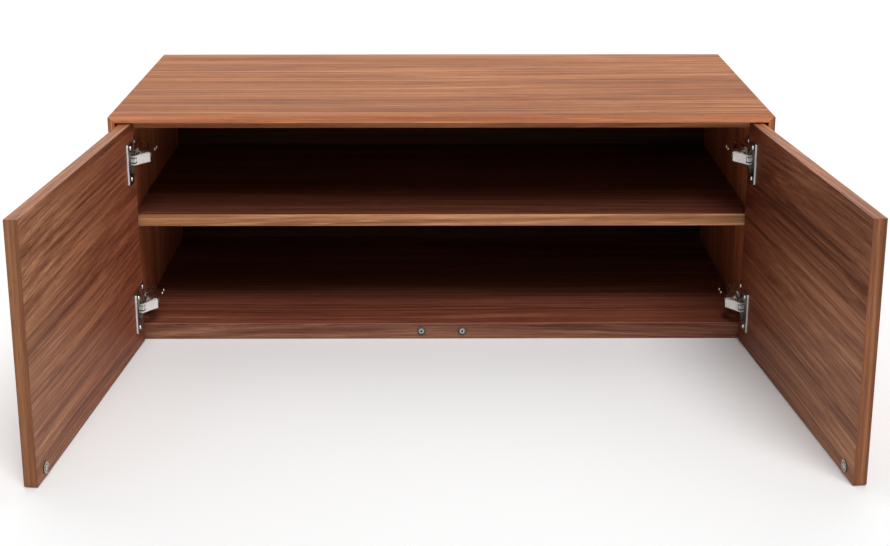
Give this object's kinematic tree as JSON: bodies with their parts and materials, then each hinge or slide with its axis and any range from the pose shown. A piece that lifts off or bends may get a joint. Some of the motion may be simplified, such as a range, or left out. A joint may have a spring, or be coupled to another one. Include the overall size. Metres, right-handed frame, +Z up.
{
  "type": "cabinet",
  "caption": "Low wide storage cabinet with a mitred shell, a full-width shelf, and two inset doors on concealed hinges with push latches.",
  "frame": {"origin": "middle of the bottom panel's underside, halfway across the width and the carcass depth", "axes": "+X across the width to the user's right, +Y from the doors to the back, +Z up"},
  "size_m": [1.0595, 0.9374, 0.365],
  "materials": {
    "walnut_outside": "satin lacquered walnut veneer, outside faces of the carcass",
    "walnut_inside": "satin lacquered walnut veneer, shelf, bottom and back",
    "walnut_door": "satin lacquered walnut veneer, door faces and banded edges",
    "beech": "plain beech, unfinished",
    "hinge_nickel": "nickel-plated pressed steel",
    "screw_steel": "zinc-plated steel",
    "strike_steel": "zinc-plated steel disc",
    "latch_grey": "grey moulded plastic",
    "latch_pale": "pale grey moulded plastic",
    "spring_steel": "bright spring wire"
  },
  "bodies": {
    "carcass": {"top_panel": "walnut_outside", "bottom_panel": "walnut_inside", "back_panel": "walnut_inside", "shelf": "walnut_inside", "side_panel_left": "walnut_outside", "mitre_spline_left": "beech", "dowel_1_left": "beech", "dowel_2_left": "beech", "shelf_pin_1_left": "hinge_nickel", "shelf_pin_2_left": "hinge_nickel", "hinge_plate_lower_left": "hinge_nickel", "hinge_arm_lower_left": "hinge_nickel", "plate_screw_1_lower_left": "screw_steel", "plate_screw_2_lower_left": "screw_steel", "hinge_plate_upper_left": "hinge_nickel", "hinge_arm_upper_left": "hinge_nickel", "plate_screw_1_upper_left": "screw_steel", "plate_screw_2_upper_left": "screw_steel", "latch_housing_left": "latch_grey", "latch_spring_left": "spring_steel", "side_panel_right": "walnut_outside", "mitre_spline_right": "beech", "dowel_1_right": "beech", "dowel_2_right": "beech", "shelf_pin_1_right": "hinge_nickel", "shelf_pin_2_right": "hinge_nickel", "hinge_plate_lower_right": "hinge_nickel", "hinge_arm_lower_right": "hinge_nickel", "plate_screw_1_lower_right": "screw_steel", "plate_screw_2_lower_right": "screw_steel", "hinge_plate_upper_right": "hinge_nickel", "hinge_arm_upper_right": "hinge_nickel", "plate_screw_1_upper_right": "screw_steel", "plate_screw_2_upper_right": "screw_steel", "latch_housing_right": "latch_grey", "latch_spring_right": "spring_steel"},
    "door_left": {"door_panel_left": "walnut_door", "hinge_cup_lower_left": "hinge_nickel", "hinge_cup_upper_left": "hinge_nickel", "strike_plate_left": "strike_steel", "strike_screw_left": "screw_steel"},
    "outer_links_left": {"outer_link_lower_left": "hinge_nickel", "outer_link_upper_left": "hinge_nickel"},
    "inner_links_left": {"inner_link_lower_left": "hinge_nickel", "inner_link_upper_left": "hinge_nickel"},
    "plunger_left": {"latch_plunger_left": "latch_pale", "latch_magnet_left": "screw_steel"},
    "door_right": {"door_panel_right": "walnut_door", "hinge_cup_lower_right": "hinge_nickel", "hinge_cup_upper_right": "hinge_nickel", "strike_plate_right": "strike_steel", "strike_screw_right": "screw_steel"},
    "outer_links_right": {"outer_link_lower_right": "hinge_nickel", "outer_link_upper_right": "hinge_nickel"},
    "inner_links_right": {"inner_link_lower_right": "hinge_nickel", "inner_link_upper_right": "hinge_nickel"},
    "plunger_right": {"latch_plunger_right": "latch_pale", "latch_magnet_right": "screw_steel"}
  },
  "joints": [
    {"name": "door_left_swing", "type": "hinge", "parent": "carcass", "child": "door_left", "pos_m": [-0.477, -0.2278, 0.18], "axis": [0, 0, -1], "range_deg": [-95, 12]},
    {"name": "outer_links_left_swing", "type": "hinge", "parent": "carcass", "child": "outer_links_left", "pos_m": [-0.44855, -0.20741, 0.18], "axis": [0, 0, 1], "range_deg": [-23.82, 3.1]},
    {"name": "inner_links_left_swing", "type": "hinge", "parent": "carcass", "child": "inner_links_left", "pos_m": [-0.45174, -0.20215, 0.18], "axis": [0, 0, 1], "range_deg": [-21.33, 2.78]},
    {"name": "plunger_left_slide", "type": "slide", "parent": "carcass", "child": "plunger_left", "axis": [0, -1, 0], "range_m": [-0.002, 0.0005], "stiffness_N_per_m": 150},
    {"name": "door_right_swing", "type": "hinge", "parent": "carcass", "child": "door_right", "pos_m": [0.477, -0.2278, 0.18], "axis": [0, 0, 1], "range_deg": [-96, 11]},
    {"name": "outer_links_right_swing", "type": "hinge", "parent": "carcass", "child": "outer_links_right", "pos_m": [0.44855, -0.20741, 0.18], "axis": [0, 0, -1], "range_deg": [-24.07, 2.85]},
    {"name": "inner_links_right_swing", "type": "hinge", "parent": "carcass", "child": "inner_links_right", "pos_m": [0.45174, -0.20215, 0.18], "axis": [0, 0, -1], "range_deg": [-21.55, 2.56]},
    {"name": "plunger_right_slide", "type": "slide", "parent": "carcass", "child": "plunger_right", "axis": [0, -1, 0], "range_m": [-0.002, 0.0005], "stiffness_N_per_m": 150}
  ],
  "couplings": [
    {"joint": "outer_links_left_swing", "follows": "door_left_swing", "ratio": 0.24967},
    {"joint": "inner_links_left_swing", "follows": "door_left_swing", "ratio": 0.22348},
    {"joint": "outer_links_right_swing", "follows": "door_right_swing", "ratio": 0.24967},
    {"joint": "inner_links_right_swing", "follows": "door_right_swing", "ratio": 0.22348}
  ]
}
